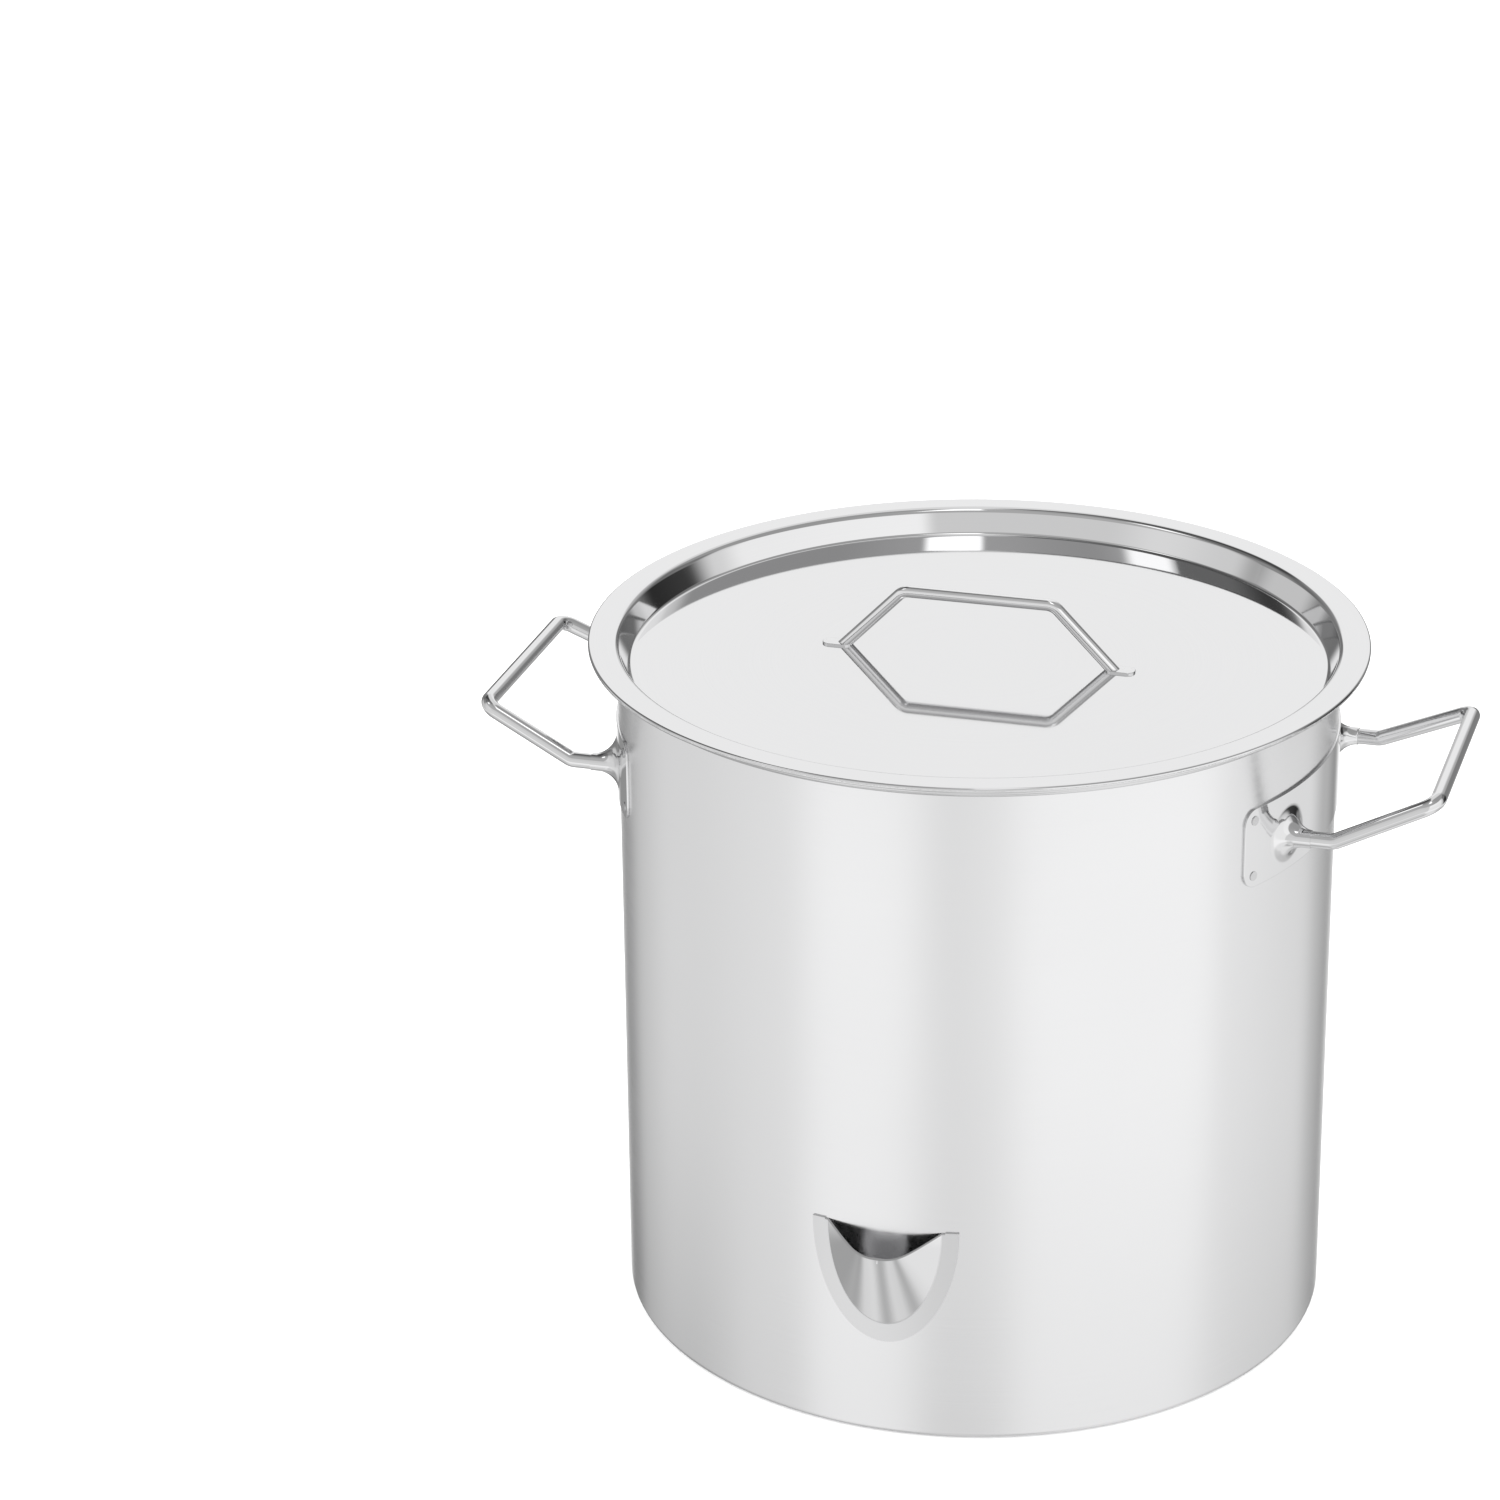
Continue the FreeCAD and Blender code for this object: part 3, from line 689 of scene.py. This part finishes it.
def smooth_side_handle(name, node, side):
    """A kettle handle on side +1 or -1 of X, bent out of one wire."""
    low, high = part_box(node)
    reach = max(high.x, -low.x) - SIDE_WIRE / 2
    rise = high.z - SIDE_WIRE / 2
    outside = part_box("kettle_wall")[1].y - CURL_WIDTH + WALL_SHEET
    root = math.sqrt(outside ** 2 - (LEG_SPREAD - SIDE_WIRE / 2) ** 2)
    mesh = bmesh.new()
    add_wire(mesh, mirrored([
        Vector((side * root, LEG_SPREAD, LEG_HEIGHT)),
        Vector((side * LEG_REACH, LEG_SPREAD, LEG_HEIGHT)),
        Vector((side * reach, BAR_SPREAD, rise)),
    ], 1), SIDE_WIRE_BEND, SIDE_WIRE, Vector((1, 0, 0)))
    return stand_in(name, mesh, "kettle", node)


def tab_ring(mesh, middle, inset, height, steps=8):
    """A rounded rectangle of vertices, inset from a foot's outline."""
    ring = []
    for quarter, (side_x, side_y) in enumerate(((1, 1), (-1, 1), (-1, -1), (1, -1))):
        centre_x = middle + side_x * (TAB_LENGTH / 2 - TAB_CORNER)
        centre_y = side_y * (TAB_WIDTH / 2 - TAB_CORNER)
        for turn in quarter_turn(steps):
            angle = quarter * math.pi / 2 + turn
            ring.append(mesh.verts.new((
                centre_x + (TAB_CORNER - inset) * math.cos(angle),
                centre_y + (TAB_CORNER - inset) * math.sin(angle),
                height)))
    return ring


def add_tab(mesh, middle, bottom, steps=8):
    """A flat foot with rounded ends and a softened upper edge."""
    top = bottom + TAB_SHEET
    rings = [tab_ring(mesh, middle, 0.0, bottom)]
    for lean in quarter_turn(steps):
        inset = TAB_EDGE * (1 - math.cos(lean))
        rings.append(tab_ring(mesh, middle, inset, top - TAB_EDGE * (1 - math.sin(lean))))
    join_rings(mesh, rings)
    for ring in (rings[0], rings[-1]):
        close_ring(mesh, ring)


def smooth_lid_handle():
    """The lid's handle, one bent wire on two flat feet."""
    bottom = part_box("lid_handle")[0].z
    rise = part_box("lid_handle")[1].z - LID_WIRE / 2
    mesh = bmesh.new()
    add_wire(mesh, mirrored([
        Vector((-LID_FOOT_REACH, 0, bottom)),
        Vector((-LID_BAR_REACH, 0, rise)),
    ], 0), LID_WIRE_BEND, LID_WIRE, Vector((0, 0, 1)))
    for side in (-1, 1):
        add_tab(mesh, side * TAB_REACH, bottom)
    return stand_in("lid_handle_wire", mesh, "lid", "lid_handle")


def smooth_lid_spots(steps=12, sides=48):
    """The low round marks of the spot welds on the lid handle's feet."""
    low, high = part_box("lid_handle_welds")
    radius = (high.y - low.y) / 2
    mesh = bmesh.new()
    for middle in (low.x + radius, high.x - radius):
        rings = []
        for step in range(steps):
            share = 1 - step / steps
            height = low.z + SPOT_CROWN * (1 - share ** 2) ** 2
            rings.append([
                mesh.verts.new((
                    middle + share * radius * math.cos(angle), share * radius * math.sin(angle), height))
                for angle in full_turn(sides)])
        join_rings(mesh, rings)
        close_ring(mesh, rings[0])
        mesh.faces.new(rings[-1]).smooth = True
    return stand_in("lid_handle_spots", mesh, "lid", "lid_handle_welds")


# ---- finishes of the nodes ----

def paint(material, *names):
    for name in names:
        slots = nodes[name].data.materials
        slots.clear()
        slots.append(material)


def dress(piece, material):
    """Gives a new piece its material."""
    piece.data.materials.append(material)


def finish_wall():
    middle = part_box("kettle_wall")[1].y - CURL_WIDTH + WALL_SHEET / 2
    wall = brushed_steel(
        "wall_steel", STEEL, WALL_ROUGH, WALL_ANISOTROPY, BRUSHED_DEPTH, matt_within=middle)
    paint(wall, "kettle_wall")
    dress(turned_wall(), wall)


def finish_base():
    paint(brushed_steel("pan_steel", PALE_STEEL, PAN_ROUGH, 0.0, BRUSHED_DEPTH), "base_pan")
    paint(brushed_steel("base_steel", STEEL, BASE_ROUGH, 0.0, BRUSHED_DEPTH), "base_cap")
    paint(polished_steel("core_aluminium", ALUMINIUM, CORE_ROUGH), "heat_spreader")


def finish_lid():
    lid = brushed_steel("lid_steel", STEEL, LID_ROUGH, 0.0, BUFFED_DEPTH)
    paint(lid, "lid_pan")
    dress(turned_lid(), lid)


def finish_plates():
    plate = polished_steel("plate_steel", STEEL, PLATE_ROUGH)
    for name, side in (("right", 1), ("left", -1)):
        node = "handle_plate_" + name
        paint(plate, node)
        dress(smooth_plate(node + "_sheet", node, side), plate)


def finish_side_handles():
    wire = polished_steel("wire_steel", STEEL, WIRE_ROUGH)
    for name, side in (("right", 1), ("left", -1)):
        node = "side_handle_" + name
        paint(wire, node)
        dress(smooth_side_handle(node + "_wire", node, side), wire)


def finish_lid_handle():
    wire = lid_handle_steel_painted_highlight()
    paint(wire, "lid_handle")
    dress(smooth_lid_handle(), wire)
    dress(smooth_lid_spots(), wire)


def finish_pocket():
    paint(pocket_steel(), "front_pocket")


def finish_welds():
    weld = polished_steel("weld_steel", WELD_STEEL, WELD_ROUGH)
    paint(weld, "plate_welds_right", "plate_welds_left", "lid_handle_welds", "base_weld")


# ---- studio ----

def add_floor():
    """A wide white floor just under the base, clear when it is seen from below."""
    bpy.ops.mesh.primitive_circle_add(vertices=FLOOR_SIDES, radius=FLOOR_RADIUS, fill_type="NGON")
    floor = bpy.context.object
    floor.name = "floor"
    shader = Shader("floor_white")
    shader.set(Roughness=FLOOR_ROUGH, Base_Color=FLOOR_WHITE)
    from_below = shader.add("ShaderNodeNewGeometry").outputs["Backfacing"]
    clear = shader.add("ShaderNodeBsdfTransparent").outputs[0]
    choice = shader.add("ShaderNodeMixShader")
    for source, target in zip((from_below, shader.surface.outputs[0], clear), choice.inputs):
        shader.feed(source, target)
    shader.feed(choice.outputs[0], shader.output.inputs["Surface"])
    floor.data.materials.append(shader.material)
    floor.location.z = -FLOOR_GAP
    floor.visible_glossy = False


def sine(degrees):
    return math.sin(math.radians(degrees))


def tent_light():
    """A glow that changes in soft panels round the tent and in bands up it."""
    shader = Shader("light_tent")
    _, x, y, z = shader.position()
    turn = shader.math("ARCTAN2", y, x)
    turn = shader.math("ADD", shader.math("DIVIDE", turn, 2.0 * math.pi), 0.5)
    height = shader.math("DIVIDE", z, TENT_RADIUS)
    lit = shader.ramp(turn, FLOOR_PANELS)
    for start, whole, panels in TENT_BANDS:
        above = shader.span(height, 0.0, 1.0, sine(start), sine(whole))
        lit = shader.mix(above, lit, shader.ramp(turn, panels))
    glow = shader.add("ShaderNodeEmission")
    shader.feed(lit, glow.inputs["Strength"])
    shader.feed(glow.outputs[0], shader.output.inputs["Surface"])
    shader.tree.nodes.remove(shader.surface)
    shader.material.cycles.emission_sampling = "NONE"
    return shader.material


def add_tent():
    """A round light tent that only the steel sees."""
    bpy.ops.mesh.primitive_uv_sphere_add(
        segments=TENT_SEGMENTS, ring_count=TENT_RINGS, radius=TENT_RADIUS)
    tent = bpy.context.object
    tent.name = "light_tent"
    tent.data.materials.append(tent_light())
    tent.visible_camera = False
    tent.visible_diffuse = False
    tent.visible_shadow = False
    tent.visible_transmission = False


def set_world():
    world = bpy.data.worlds.new("studio")
    world.use_nodes = True
    background = world.node_tree.nodes["Background"]
    background.inputs["Color"].default_value = WHITE
    background.inputs["Strength"].default_value = WORLD_LIGHT
    bpy.context.scene.world = world
    bpy.context.scene.view_settings.view_transform = "Standard"


add_camera()
finish_wall()
finish_base()
finish_lid()
finish_plates()
finish_side_handles()
finish_lid_handle()
finish_pocket()
finish_welds()
add_floor()
add_tent()
set_world()
